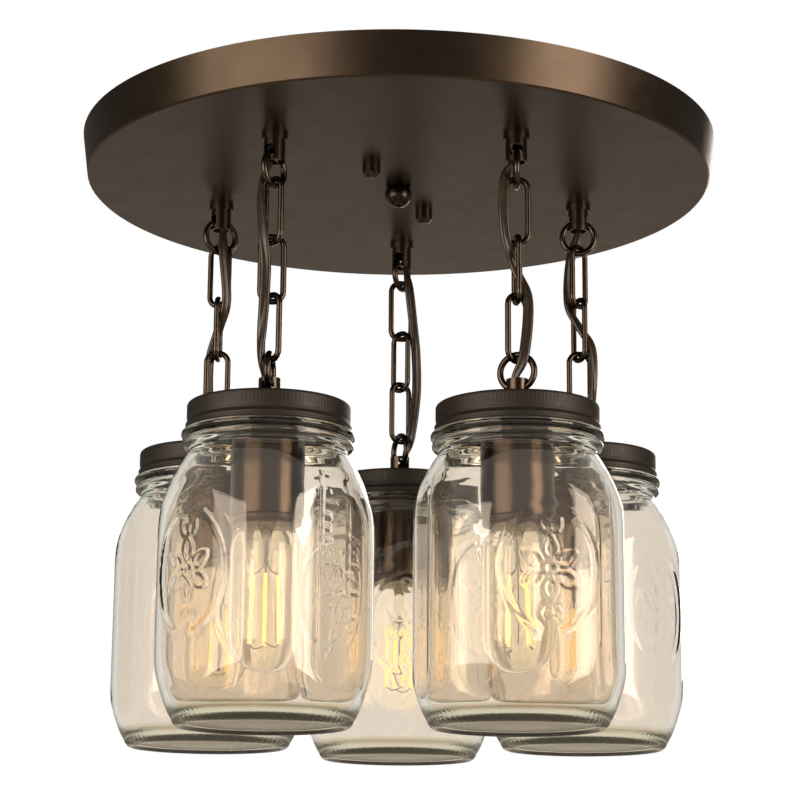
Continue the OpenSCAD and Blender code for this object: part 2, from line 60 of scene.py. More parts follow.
# Heights and sizes in millimetres, as in the CAD
PAN_Z = -24.0                         # underside of the pan
PAN_WALL = 1.2
SPLICE_HEIGHT = 7.5
LOOP_HEIGHT = 15.3
TOP_HOLE_Z = -33.9                    # where the upper ring passes the canopy loop
LOW_HOLE_Z = -166.3                   # where the lower ring passes the lid loop
DISC_Z = -176.2                       # upper face of the lid disc
DISC_LOW = -176.8                     # lower face of the lid disc
BAND_Z = -175.65                      # upper face of the screw band
BAND_HEIGHT = 14.5
BEAD_GAP = 0.5                        # between the band and the jar's bead
BEAD_Z = BAND_Z - BAND_HEIGHT - BEAD_GAP
NECK_Z = BEAD_Z - 10.6                # upper end of the jar's shoulder
MOUTH_Z = -176.85                     # rim of the jar
BASE_Z = -345.85                      # foot of the jar
JAR_WALL = 3.5
CUP_LOW = -236.3                      # lower edge of the socket cup
LIP_Z = -240.3                        # lower edge of the lampholder in it
WIRE_FLOOR = -205.3                   # lower end of the cord
BULB_TOP = -210.3
BULB_NECK_Z = BULB_TOP - 26           # where the bulb's brass ends and its glass begins
BULB_TIP = -317.3
FLOOR_Z = -1500.0


# ---------- small helpers ----------

def pendant_xy(s):
    a = math.radians(PENDANT_TURN[s])
    return PENDANT_RADIUS * math.cos(a), PENDANT_RADIUS * math.sin(a)


def polar(centre, r, angle, z):
    """Point at distance r from an upright axis."""
    return centre[0] + r * math.cos(angle), centre[1] + r * math.sin(angle), z


def at_height(z0, rows):
    """Profile rows (r, z), their heights measured from z0."""
    return [(r, z0 + z) for r, z in rows]


def mesh_object(name, verts, faces, mat):
    me = bpy.data.meshes.new(name)
    me.from_pydata([tuple(v) for v in verts], [], [tuple(f) for f in faces])
    me.validate()
    me.update()
    me.polygons.foreach_set("use_smooth", [True] * len(me.polygons))
    ob = bpy.data.objects.new(name, me)
    bpy.context.scene.collection.objects.link(ob)
    me.materials.append(mat)
    return ob


def at_pendant(first, prefix, s, yaw):
    """Puts a piece at pendant s. Past the first pendant it is a new object with the same mesh."""
    ob = first
    if s != SUFFIXES[0]:
        ob = bpy.data.objects.new(prefix + s, first.data)
        bpy.context.scene.collection.objects.link(ob)
    x, y = pendant_xy(s)
    ob.location = (x * MM, y * MM, 0)
    ob.rotation_euler = (0, 0, math.radians(yaw))
    bpy.context.view_layer.update()
    return ob


def select_only(obs):
    """Selects these objects for an operator and makes the first one active."""
    for ob in bpy.context.selected_objects:
        ob.select_set(False)
    for ob in obs:
        ob.select_set(True)
    bpy.context.view_layer.objects.active = obs[0]


def sharpen(ob, angle):
    """Keeps edges sharper than angle crisp under smooth shading."""
    select_only([ob])
    bpy.ops.object.shade_smooth_by_angle(angle=math.radians(angle))
    ob.select_set(False)


def join(name, obs):
    """One object from several, each part keeping its material."""
    select_only(obs)
    bpy.ops.object.join()
    out = bpy.context.view_layer.objects.active
    out.name = name
    out.data.name = name
    out.select_set(False)
    return out


def fix_normals(ob):
    """Joins vertices at the same place and turns all faces outwards."""
    bm = bmesh.new()
    bm.from_mesh(ob.data)
    bmesh.ops.remove_doubles(bm, verts=bm.verts, dist=1e-6)
    bmesh.ops.recalc_face_normals(bm, faces=bm.faces)
    bm.to_mesh(ob.data)
    bm.free()


def chaikin(points):
    """Rounds the corners of a line by cutting them twice; its ends stay."""
    p = [np.array(q, float) for q in points]
    for _ in range(2):
        out = [p[0]]
        for a, b in zip(p, p[1:]):
            out += [a * 0.75 + b * 0.25, a * 0.25 + b * 0.75]
        p = out + [p[-1]]
    return np.array(p)


def resample(points, step):
    """Points along a line about step apart, keeping its ends."""
    p = np.array(points, float)
    seg = np.linalg.norm(np.diff(p, axis=0), axis=1)
    at = np.concatenate([[0], np.cumsum(seg)])
    n = max(2, int(round(at[-1] / step)) + 1)
    t = np.linspace(0, at[-1], n)
    return np.stack([np.interp(t, at, p[:, i]) for i in range(p.shape[1])], axis=1)


def catmull(points, per):
    """Smooth line through the points with per steps from each to the next, every coordinate alike."""
    p = [np.array(q, float) for q in points]
    p = [2 * p[0] - p[1]] + p + [2 * p[-1] - p[-2]]
    out = []
    for i in range(1, len(p) - 2):
        p0, p1, p2, p3 = p[i - 1], p[i], p[i + 1], p[i + 2]
        for k in range(per):
            t = k / per
            out.append(0.5 * ((2 * p1) + (-p0 + p2) * t + (2 * p0 - 5 * p1 + 4 * p2 - p3) * t * t
                              + (-p0 + 3 * p1 - 3 * p2 + p3) * t ** 3))
    out.append(p[-2])
    return np.array(out)


def skin(index, closed=False, inward=False):
    """Faces between rows of vertex numbers; a row on the axis holds one number throughout."""
    faces = []
    rows, cols = len(index), len(index[0])
    for i in range(rows if closed else rows - 1):
        a, b = index[i], index[(i + 1) % rows]
        for j in range(cols):
            k = (j + 1) % cols
            corners = (a[j], b[j], b[k], a[k]) if inward else (a[j], a[k], b[k], b[j])
            face = list(dict.fromkeys(corners))
            if len(face) >= 3:
                faces.append(face)
    return faces


def lathe(name, profile, segments, mat, closed=False, centre=(0, 0), radial=None):
    """Turned surface. The profile's rows are (r, z) in millimetres; radial(r, z, angle) may change r."""
    angles = np.linspace(0, 2 * math.pi, segments, endpoint=False)
    verts, index = [], []
    for r, z in np.array(profile, float):
        start = len(verts)
        if r < 1e-6:
            index.append([start] * segments)
            verts.append((centre[0] * MM, centre[1] * MM, z * MM))
            continue
        index.append(list(range(start, start + segments)))
        for a in angles:
            x, y, _ = polar(centre, radial(r, z, a) if radial else r, a, z)
            verts.append((x * MM, y * MM, z * MM))
    return mesh_object(name, verts, skin(index, closed), mat)


def sweep(name, path, section, mat):
    """Solid along a path. The path's rows are x, y, z, turn of the flat side in degrees and scale;
    section(scale) gives the outline as offsets (along the flat side, across it)."""
    path = np.array(path, float)
    n = len(path)
    verts, faces = [], []
    for i, row in enumerate(path):
        place, turn, scale = row[:3], math.radians(row[3]), row[4]
        a, b = path[max(i - 1, 0)][:3], path[min(i + 1, n - 1)][:3]
        along = (b - a) / np.linalg.norm(b - a)
        level = np.array([math.cos(turn), math.sin(turn), 0.0])
        flat = level - level.dot(along) * along
        flat /= np.linalg.norm(flat)
        thick = np.cross(along, flat)
        for u, v in section(scale):
            verts.append((place + u * flat + v * thick) * MM)
    m = len(verts) // n
    for i in range(n - 1):
        for j in range(m):
            k = (j + 1) % m
            faces.append((i * m + j, i * m + k, (i + 1) * m + k, (i + 1) * m + j))
    faces.append(tuple(range(m - 1, -1, -1)))
    faces.append(tuple((n - 1) * m + j for j in range(m)))
    return mesh_object(name, verts, faces, mat)


# ---------- materials ----------

def new_material(name):
    mat = bpy.data.materials.new(name)
    mat.use_nodes = True
    return mat, mat.node_tree, mat.node_tree.nodes["Principled BSDF"]


def noise_node(nt, scale, detail=3.0, rough=0.5, stretch=None):
    """Noise in object coordinates, in metres."""
    out = nt.nodes.new("ShaderNodeTexCoord").outputs["Object"]
    if stretch:
        mapping = nt.nodes.new("ShaderNodeMapping")
        mapping.inputs["Scale"].default_value = stretch
        nt.links.new(out, mapping.inputs["Vector"])
        out = mapping.outputs["Vector"]
    noise = nt.nodes.new("ShaderNodeTexNoise")
    noise.inputs["Scale"].default_value = scale
    noise.inputs["Detail"].default_value = detail
    noise.inputs["Roughness"].default_value = rough
    nt.links.new(out, noise.inputs["Vector"])
    return noise.outputs["Fac"]


def ramp(nt, fac, a, b, lo=0.3, hi=0.7):
    """Colour a where fac is up to lo, b from hi on."""
    node = nt.nodes.new("ShaderNodeValToRGB")
    node.color_ramp.elements[0].position = lo
    node.color_ramp.elements[1].position = hi
    node.color_ramp.elements[0].color = (*a, 1)
    node.color_ramp.elements[1].color = (*b, 1)
    nt.links.new(fac, node.inputs["Fac"])
    return node.outputs["Color"]


def map_range(nt, fac, lo, hi, a=0.3, b=0.7):
    """Value lo where fac is a, hi where it is b."""
    node = nt.nodes.new("ShaderNodeMapRange")
    node.inputs["From Min"].default_value = a
    node.inputs["From Max"].default_value = b
    node.inputs["To Min"].default_value = lo
    node.inputs["To Max"].default_value = hi
    nt.links.new(fac, node.inputs["Value"])
    return node.outputs["Result"]


def bump(nt, bsdf, fac, strength, distance):
    node = nt.nodes.new("ShaderNodeBump")
    node.inputs["Strength"].default_value = strength
    node.inputs["Distance"].default_value = distance
    nt.links.new(fac, node.inputs["Height"])
    nt.links.new(node.outputs["Normal"], bsdf.inputs["Normal"])


def metal(name, dark, light, metallic, rough, scale, bump_d, stretch=None, spread=0.05):
    """Bare or painted metal: slow changes of colour, finer ones of roughness by spread, and a fine grain."""
    mat, nt, b = new_material(name)
    b.inputs["Metallic"].default_value = metallic
    slow = noise_node(nt, scale * 0.12, 4.0, 0.6)
    nt.links.new(ramp(nt, slow, dark, light), b.inputs["Base Color"])
    fine = noise_node(nt, scale, 3.0, 0.6, stretch)
    nt.links.new(map_range(nt, fine, rough - spread, rough + spread), b.inputs["Roughness"])
    bump(nt, b, noise_node(nt, scale * 9, 2.0, 0.5, stretch), 0.35, bump_d)
    return mat


def plastic(name, dark, light, rough, spec=0.5):
    mat, nt, b = new_material(name)
    b.inputs["Specular IOR Level"].default_value = spec
    nt.links.new(ramp(nt, noise_node(nt, 40.0), dark, light), b.inputs["Base Color"])
    fine = noise_node(nt, 200.0, 2.0)
    nt.links.new(map_range(nt, fine, rough - 0.06, rough + 0.06), b.inputs["Roughness"])
    bump(nt, b, fine, 0.3, 0.00003)
    return mat


def glass_material(name, tint, absorb, spec=0.5, waves=0.0, glow=0.0):
    """Clear glass; waves is the strength of its uneven surface and glow that of its warm light."""
    mat, nt, b = new_material(name)
    b.inputs["Base Color"].default_value = (*tint, 1)
    b.inputs["Roughness"].default_value = 0.0
    b.inputs["IOR"].default_value = 1.5
    b.inputs["Specular IOR Level"].default_value = spec
    b.inputs["Transmission Weight"].default_value = 1.0
    if glow > 0:
        b.inputs["Emission Color"].default_value = (1.0, 0.82, 0.56, 1)
        b.inputs["Emission Strength"].default_value = glow
    bump(nt, b, noise_node(nt, 22.0, 2.0, 0.4, (1, 1, 0.6)), waves, 0.0004)
    volume = nt.nodes.new("ShaderNodeVolumeAbsorption")
    volume.inputs["Color"].default_value = (*absorb, 1)
    volume.inputs["Density"].default_value = 20.0
    nt.links.new(volume.outputs["Volume"], nt.nodes["Material Output"].inputs["Volume"])
    return mat


def frost_base(mat, tint, foot_tint, clear_z, frosted_z, rough):
    """Makes the stippled foot of the glass rougher and greener than the rest."""
    nt = mat.node_tree
    bsdf = nt.nodes["Principled BSDF"]
    place = nt.nodes.new("ShaderNodeTexCoord")
    axes = nt.nodes.new("ShaderNodeSeparateXYZ")
    nt.links.new(place.outputs["Object"], axes.inputs["Vector"])
    z = axes.outputs["Z"]
    nt.links.new(map_range(nt, z, rough, 0.0, frosted_z * MM, clear_z * MM), bsdf.inputs["Roughness"])
    foot = map_range(nt, z, 1.0, 0.0, frosted_z * MM, clear_z * MM)
    nt.links.new(ramp(nt, foot, tint, foot_tint, 0.0, 1.0), bsdf.inputs["Base Color"])


def filament_material():
    mat, nt, b = new_material("led_filament")
    fac = noise_node(nt, 900.0, 1.0, 0.4)
    nt.links.new(ramp(nt, fac, (1.0, 0.56, 0.16), (1.0, 0.68, 0.26)), b.inputs["Base Color"])
    b.inputs["Roughness"].default_value = 0.6
    b.inputs["Emission Color"].default_value = (1.0, 0.64, 0.24, 1)
    b.inputs["Emission Strength"].default_value = 1.4
    return mat


pan_paint = metal("pan_paint", (0.060, 0.0445, 0.033), (0.072, 0.0535, 0.040), 1.0, 0.32,
                  scale=60.0, bump_d=0.00004, spread=0.03)
hardware = metal("bronze_hardware", (0.064, 0.050, 0.040), (0.084, 0.066, 0.053), 1.0, 0.26,
                 scale=140.0, bump_d=0.000012, spread=0.03)
lid_paint = metal("lid_bronze", (0.012, 0.0086, 0.0060), (0.017, 0.0120, 0.0085), 0.0, 0.50,
                  scale=160.0, bump_d=0.00008)
cup_paint = metal("cup_bronze", (0.066, 0.052, 0.042), (0.080, 0.063, 0.051), 1.0, 0.25,
                  scale=110.0, bump_d=0.00001, spread=0.02)
knob_metal = metal("dark_knob", (0.036, 0.028, 0.022), (0.050, 0.039, 0.031), 1.0, 0.24,
                   scale=110.0, bump_d=0.00001, spread=0.02)
zinc = metal("zinc_steel", (0.42, 0.42, 0.40), (0.56, 0.55, 0.50), 1.0, 0.36,
             scale=120.0, bump_d=0.00004, stretch=(1, 6, 1))
brass = metal("bulb_base_brass", (0.50, 0.36, 0.16), (0.62, 0.46, 0.24), 1.0, 0.30,
              scale=150.0, bump_d=0.00003)
wire_steel = metal("support_wire", (0.10, 0.09, 0.08), (0.18, 0.16, 0.14), 0.9, 0.35,
                   scale=200.0, bump_d=0.00002)
cord_plastic = plastic("brown_cord", (0.025, 0.0160, 0.0105), (0.034, 0.0220, 0.0145), 0.30, spec=0.6)
black_plastic = plastic("black_plastic", (0.018, 0.018, 0.018), (0.03, 0.03, 0.03), 0.45)
phenolic = plastic("brown_insulator", (0.050, 0.026, 0.014), (0.072, 0.038, 0.020), 0.35)

JAR_TINT = (0.918, 0.850, 0.783)
FOOT_TINT = (0.80, 0.71, 0.56)
jar_glass = glass_material("jar_glass", JAR_TINT, (0.52, 0.66, 0.48), spec=0.26, waves=0.12)
frost_base(jar_glass, JAR_TINT, FOOT_TINT, BASE_Z + 11.0, BASE_Z + 6.0, 0.18)
bulb_glass = glass_material("bulb_glass", (1.0, 0.985, 0.95), (0.80, 0.74, 0.60), spec=0.36, glow=0.06)
stem_glass = glass_material("stem_glass", (0.98, 0.97, 0.93), (0.7, 0.7, 0.6))
filament = filament_material()

NODE_MATERIALS = {
    "canopy_pan": pan_paint, "canopy_loops": hardware, "cap_nuts": hardware, "ball_knob": knob_metal,
    "loop_nuts": zinc, "box_strap": zinc, "stud_strap": zinc, "mount_studs": zinc, "center_nipple": zinc,
    "splice_connectors": black_plastic,
}
for s in SUFFIXES:
    NODE_MATERIALS.update({
        "top_ring_" + s: hardware, "links_" + s: hardware, "low_ring_" + s: hardware,
        "lid_loop_" + s: hardware, "lid_disc_" + s: lid_paint, "screw_band_" + s: lid_paint,
        "socket_" + s: cup_paint, "bulb_" + s: bulb_glass, "jar_" + s: jar_glass, "cord_" + s: cord_plastic,
    })
for name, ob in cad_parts.items():
    if len(ob.material_slots) == 0:
        ob.data.materials.append(NODE_MATERIALS[name])
    for slot in ob.material_slots:
        slot.material = NODE_MATERIALS[name]


# ---------- jars ----------

FACE_HALF = 52.5                        # from the axis to a flat face
CORNER_R = 42.0
CORNER_BLEND = 1.2                      # how softly the round profile goes over into the flat faces
OUTER_ROUND_R, INNER_ROUND_R = 46.5, 44.0       # up to these radii the jar stays round
BARREL_R = 57.5                         # at the corners; the flat faces cut into it
BARREL_TOP = BASE_Z + 96
SHOULDER_R = 80.0
MOUTH_R = 40.8
RIDGE_R, RIDGE_STEP = 41.7, 3.175       # the thread, as round ridges without a pitch
JAR_COLS = 288
RELIEF_HEIGHT = 0.5
FACE_REACH, DRAWING_REACH = 0.62, 50    # half width of a drawing in radians, half height in millimetres
STIPPLE_HEIGHT, STIPPLE_COUNT = 0.28, 72
STROKE_EDGE = 0.9
FRAME_ACROSS, FRAME_UP = 25.0, 32.0
# Graduation scales: place across, half height, ticks above the middle and their distance, how many to a long
# one, length of a long and of a short one
SCALES = ((-9.0, 46, 7, 6.0, 5, 11.0, 6.0), (9.5, 34, 5, 6.6, 2, 7.0, 4.0))


def square_radius(a, half, corner):
    """Distance from the axis to a rounded square's edge at angle a."""
    c, d = sorted((abs(math.cos(a)), abs(math.sin(a))), reverse=True)
    flat = half - corner
    if half * d / c <= flat:
        return half / c
    dot = flat * (c + d)
    return dot + math.sqrt(dot * dot - 2 * flat * flat + corner * corner)


def soft_min(a, b, k):
    """The smaller of a and b, rounded where they differ by less than k."""
    h = np.clip(0.5 + 0.5 * (b - a) / k, 0, 1)
    return b * (1 - h) + a * h - k * h * (1 - h)


def shoulder_points(inset):
    """Arc from the neck down to the barrel, moved in by inset."""
    radius, middle = SHOULDER_R - inset, BARREL_R - SHOULDER_R
    out = []
    for i in range(9):
        z = (NECK_Z - BARREL_TOP) * (1 - i / 8)
        out.append((middle + math.sqrt(radius * radius - z * z), BARREL_TOP + z))
    return out


def jar_profile_outer():
    rows = at_height(MOUTH_Z, [(38.4, -0.25), (39.2, -0.02), (40.3, -0.1), (MOUTH_R, -0.7), (MOUTH_R, -2.6)])
    for k in (0, 1):
        rows += at_height(MOUTH_Z - 3 - k * RIDGE_STEP,
                          [(MOUTH_R, 0), (RIDGE_R, -0.9), (RIDGE_R, -1.7), (MOUTH_R, -2.5)])
    rows += at_height(BEAD_Z, [
        (MOUTH_R, 0.6), (MOUTH_R + 0.3, 0), (45.0, -0.1), (45.95, -1.0), (46.0, -2.0), (45.9, -3.1),
        (44.6, -4.3), (43.6, -4.9), (43.5, -5.3), (45.1, -6.0), (45.3, -7.2), (45.1, -8.3), (43.4, -9.4),
        (42.1, -10.2)])
    finish = resample(chaikin(rows), 0.75)
    shoulder = resample(shoulder_points(0), 1.6)[1:]
    low = chaikin([shoulder[-1]] + at_height(BASE_Z, [
        (BARREL_R, 60), (BARREL_R, 42), (56.6, 30), (53.6, 19), (50.0, 9), (47.2, 4.2), (45.6, 1.4),
        (43.6, 0.1), (41.6, 0.1), (40.2, 0.7), (38.2, 1.9), (34.0, 2.0), (0.0, 2.4)]))
    split = np.argmax(low[:, 1] < BASE_Z + 44)
    barrel = resample(low[:split], 1.15)[1:]
    heel = resample(low[split:], 1.7)
    underside = at_height(BASE_Z, [(22.0, 2.05), (11.0, 2.2), (0.0, 2.3)])
    return np.concatenate([finish, shoulder, barrel, heel[heel[:, 0] > 33.0], underside])


def jar_profile_inner():
    mouth = resample([(38.3, MOUTH_Z - 0.9), (38.2, MOUTH_Z - 6), (38.2, NECK_Z + 3)], 3.0)
    shoulder = resample(shoulder_points(JAR_WALL), 4.0)
    low = chaikin([shoulder[-1]] + at_height(BASE_Z, [
        (54.0, 60), (54.0, 40), (53.0, 30), (50.0, 19.5), (46.6, 11.0), (43.4, 6.8), (40.0, 5.6), (34.0, 5.2),
        (24.0, 5.3)]))
    middle = at_height(BASE_Z, [(12.0, 5.6), (0.0, 5.8)])
    return np.concatenate([mouth, shoulder, resample(low, 3.2)[1:], middle])


def smooth01(x):
    x = np.clip(x, 0, 1)
    return x * x * (3 - 2 * x)


def stroke(d, w):
    """Height of a rounded line of width w at distance d from its middle, from 0 to 1."""
    return smooth01((w / 2 + STROKE_EDGE / 2 - np.abs(d)) / STROKE_EDGE)


def petal(u, v, x0, y0, angle, length, width):
    """Height of a leaf's outline that starts at x0, y0."""
    c, d = math.cos(angle), math.sin(angle)
    a = (u - x0) * c + (v - y0) * d
    b = -(u - x0) * d + (v - y0) * c
    half = width * np.sin(math.pi * np.clip(a / length, 0, 1) ** 0.8)
    return np.where((a > 0) & (a < length), stroke(np.abs(b) - half, 1.7), 0)


def medallion(u, v):
    """Generic oval frame with a rosette and four leaves; u is across and v up, in millimetres."""
    h = stroke((np.sqrt((u / FRAME_ACROSS) ** 2 + (v / FRAME_UP) ** 2) - 1) * FRAME_ACROSS, 2.0)
    h = np.maximum(h, stroke(np.sqrt(u * u + v * v) - 3.2, 1.9))
    for k in range(6):
        turn = (k + 0.5) * math.pi / 3
        h = np.maximum(h, petal(u, v, 4.6 * math.cos(turn), 4.6 * math.sin(turn), turn, 12.5, 3.4))
    for up in (-1, 1):
        for side in (-1, 1):
            turn = up * math.pi / 2 - side * up * 0.7
            h = np.maximum(h, petal(u, v, 0.0, up * 18.5, turn, 9.0, 2.4))
    return h


def ticks(u, v):
    """Plain graduation ticks beside two upright lines, without numbers."""
    h = np.zeros(len(u))
    for x, half, count, step, every, long, short in SCALES:
        h = np.maximum(h, stroke(u - x, 0.7) * (np.abs(v) < half))
        for k in range(-count, count + 1):
            end = x + (long if k % every == 0 else short)
            h = np.maximum(h, stroke(np.abs(v - k * step), 0.9) * ((u > x) & (u < end)))
    return h


# Drawings on the jar's faces: angle of the face, drawing and height of its middle
RELIEFS = ((-math.pi / 2, medallion, -270.0), (0.0, ticks, -266.0), (math.pi / 2, medallion, -270.0))


def relief(radii, angles, z):
    """Height of the drawings round the jar at height z, from 0 to 1."""
    h = np.zeros(len(angles))
    for face, drawing, middle in RELIEFS:
        if abs(z - middle) < DRAWING_REACH:
            turn = (angles - face + math.pi) % (2 * math.pi) - math.pi
            drawn = drawing(radii * np.sin(turn), np.full(len(angles), z - middle))
            h = np.where(np.abs(turn) < FACE_REACH, np.maximum(h, drawn), h)
    return h


def jar_mesh():
    angles = np.linspace(0, 2 * math.pi, JAR_COLS, endpoint=False)
    square_out = np.array([square_radius(a, FACE_HALF, CORNER_R) for a in angles])
    square_in = np.array([square_radius(a, FACE_HALF - JAR_WALL, CORNER_R - JAR_WALL) for a in angles])
    verts, index = [], []

    def add_row(radii, z):
        start = len(verts)
        if radii[0] < 1e-6:
            verts.append((0, 0, z * MM))
            index.append([start] * JAR_COLS)
        else:
            verts.extend(zip(radii * np.cos(angles) * MM, radii * np.sin(angles) * MM,
                             np.full(JAR_COLS, z * MM)))
            index.append(list(range(start, start + JAR_COLS)))

    for r, z in jar_profile_inner()[::-1]:
        radii = np.full(JAR_COLS, r)
        add_row(soft_min(radii, square_in, CORNER_BLEND) if r > INNER_ROUND_R else radii, z)
    for r, z in jar_profile_outer():
        radii = np.full(JAR_COLS, r)
        if r > OUTER_ROUND_R:
            radii = soft_min(radii, square_out, CORNER_BLEND)
            radii = radii + RELIEF_HEIGHT * relief(radii, angles, z)
        # The ring that the jar stands on is stippled
        if z < BASE_Z + 3.2 and 41 < r < 47.5:
            radii = radii + STIPPLE_HEIGHT * np.sin(STIPPLE_COUNT * angles)
        add_row(radii, z)
    return verts, skin(index, inward=True)


first_jar = mesh_object("jar_glass_back", *jar_mesh(), jar_glass)
for s in SUFFIXES:
    ob = at_pendant(first_jar, "jar_glass_", s, JAR_YAW[s])
    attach(ob, "jar_" + s)
    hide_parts("jar_" + s)


# ---------- lids ----------

BAND_R, BAND_ROLL_R, BAND_INNER_R = 43.4, 44.0, 42.3
BAND_YAW_FACTOR = 1.7       # so that no band is turned like its jar
KNURL_DEPTH, KNURL_COUNT = 0.05, 132
KNURL_LOW, KNURL_TOP = -7.6, -1.4       # heights from the band's upper face

LID_PLATE = (
    [(4.9, DISC_LOW)]
    + at_height(DISC_Z, [(4.9, 0), (20, 0), (30.0, 0), (31.0, -0.1), (31.8, -0.25), (32.6, -0.1), (33.6, 0),
                         (41.4, 0), (41.9, -0.2)])
    + at_height(DISC_LOW, [(41.9, 0.1), (41.5, 0)]))


def band_profile():
    """Screw band with a rolled bead and a lip over the lid disc; its heights are from the upper face."""
    bead = 3.1 - BAND_HEIGHT
    wall = [(BAND_R, z) for z in (-1.5, -2.2, -3.2, -4.2, -5.2, -6.2, -7.2)]
    return [
        (38.0, 0.0), (40.0, 0.0), (41.4, -0.02), (42.5, -0.25), (43.1, -0.75), *wall,
        (BAND_R - 0.1, bead + 3.0), (43.0, bead + 2.4), (42.92, bead + 1.9), (43.0, bead + 1.2),
        (43.6, bead + 0.4), (BAND_ROLL_R, bead - 0.2), (BAND_ROLL_R, bead - 1.2), (43.8, bead - 1.8),
        (43.5, bead - 2.2), (43.75, bead - 2.6), (43.7, -BAND_HEIGHT + 0.15), (43.3, -BAND_HEIGHT),
        (BAND_INNER_R + 0.1, -BAND_HEIGHT), (BAND_INNER_R, -BAND_HEIGHT + 0.2), (BAND_INNER_R, -0.55),
        (38.0, -0.5)]


def knurl(r, z, a):
    """Radius of the band's outside with fine upright ribs."""
    if KNURL_LOW < z - BAND_Z < KNURL_TOP and r > 43.2:
        return r - KNURL_DEPTH + KNURL_DEPTH * math.cos(a * KNURL_COUNT)
    return r


first_band = lathe("lid_band_back", at_height(BAND_Z, band_profile()), 4 * KNURL_COUNT, lid_paint,
                   closed=True, radial=knurl)
fix_normals(first_band)
for s in SUFFIXES:
    ob = at_pendant(first_band, "lid_band_", s, JAR_YAW[s] * BAND_YAW_FACTOR)
    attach(ob, "band_" + s)
    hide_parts("screw_band_" + s)
for s in SUFFIXES:
    ob = lathe("lid_plate_" + s, LID_PLATE, 96, lid_paint, closed=True, centre=pendant_xy(s))
    fix_normals(ob)
    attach(ob, "shade_" + s)
    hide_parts("lid_disc_" + s)


# ---------- sockets ----------

CUP_R = 19.6
SOCKET_CUP = (
    at_height(DISC_LOW, [(4.8, 0), (14.5, 0), (16.6, -0.25), (18.4, -1.2), (19.3, -2.6), (CUP_R, -4.6),
                         (CUP_R, -20), (CUP_R, -40)])
    + at_height(CUP_LOW, [(CUP_R, 1.0), (CUP_R - 0.15, 0.25), (CUP_R - 0.5, 0), (18.9, 0), (18.8, -0.2)]))
SOCKET_INSERT = (
    at_height(CUP_LOW, [(18.6, 0.6), (18.7, 0), (18.8, -0.8)])
    + at_height(LIP_Z, [(18.8, 0.9), (18.4, 0.25), (17.6, 0), (14.3, 0), (13.6, 0.4), (13.35, 1.2),
                        (13.35, 31), (5.0, 31)]))

for s in SUFFIXES:
    cup = lathe("socket_cup_" + s, SOCKET_CUP, 96, cup_paint, centre=pendant_xy(s))
    insert = lathe("socket_insert_" + s, SOCKET_INSERT, 96, phenolic, centre=pendant_xy(s))
    for ob in (cup, insert):
        fix_normals(ob)
        sharpen(ob, 38)
        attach(ob, "shade_" + s)
    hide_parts("socket_" + s)


# ---------- bulbs ----------

BULB_R, BULB_NECK_R, BULB_WALL = 19.0, 13.0, 1.0
FILAMENT_TOP, FILAMENT_LOW = -266.5, -302.5
FILAMENT_TOP_R, FILAMENT_LOW_R = 6.6, 7.8       # the four sticks lean apart downwards
STICK_R, WIRE_R, MIDDLE_WIRE_R = 1.0, 0.28, 0.35
BULB_STEM = chaikin(at_height(BULB_NECK_Z, [
    (9.0, 1.5), (6.5, -2), (3.2, -7), (2.3, -14), (2.2, -22), (2.6, -24), (1.4, -25.5), (0.0, -25.8)]))


def bulb_shell(wall):
    """The bulb's glass from its neck to its tip, moved in by wall."""
    radius, middle = BULB_R - wall, BULB_TIP + BULB_R
    side = chaikin(at_height(BULB_NECK_Z, [
        (11.0, 2.0), (BULB_NECK_R - 0.4, 0), (BULB_NECK_R - 0.2, -3.5), (14.2, -6.5), (17.2, -10.2),
        (BULB_R, -14.5), (BULB_R, -22), (BULB_R, -34)]) + [(BULB_R, middle + 8)])
    dome = [(radius * math.cos(a), middle - radius * math.sin(a)) for a in np.linspace(0, math.pi / 2, 15)]
    return [(r - wall, z) for r, z in side] + dome[:-1] + [(0.0, BULB_TIP + wall)]


def bulb_base_profile():
    """Brass screw base, its thread as round ridges without a pitch."""
    rows = at_height(BULB_TOP, [(0.0, 0), (3.6, 0), (4.6, -0.6), (4.9, -1.6), (8.6, -2.8), (11.6, -3.6),
                                (12.3, -4.6)])
    z = BULB_TOP - 5.4
    while z > BULB_NECK_Z + 3.4:
        rows += at_height(z, [(12.25, 0), (12.95, -0.9), (12.95, -1.3), (12.25, -2.1)])
        z -= 2.9
    return rows + at_height(BULB_NECK_Z, [(12.9, 0.9), (12.95, 0.2), (12.9, 0), (11.5, 0), (11.2, 0.4)])


def tube(name, points, radius, mat, sides):
    """Round wire through the points, smooth where there are more than two."""
    path = [(*p, 0.0, 1.0) for p in points]
    if len(points) > 2:
        path = catmull(path, 4)
    section = [(radius * math.cos(2 * math.pi * k / sides), radius * math.sin(2 * math.pi * k / sides))
               for k in range(sides)]
    return sweep(name, path, lambda scale: section, mat)


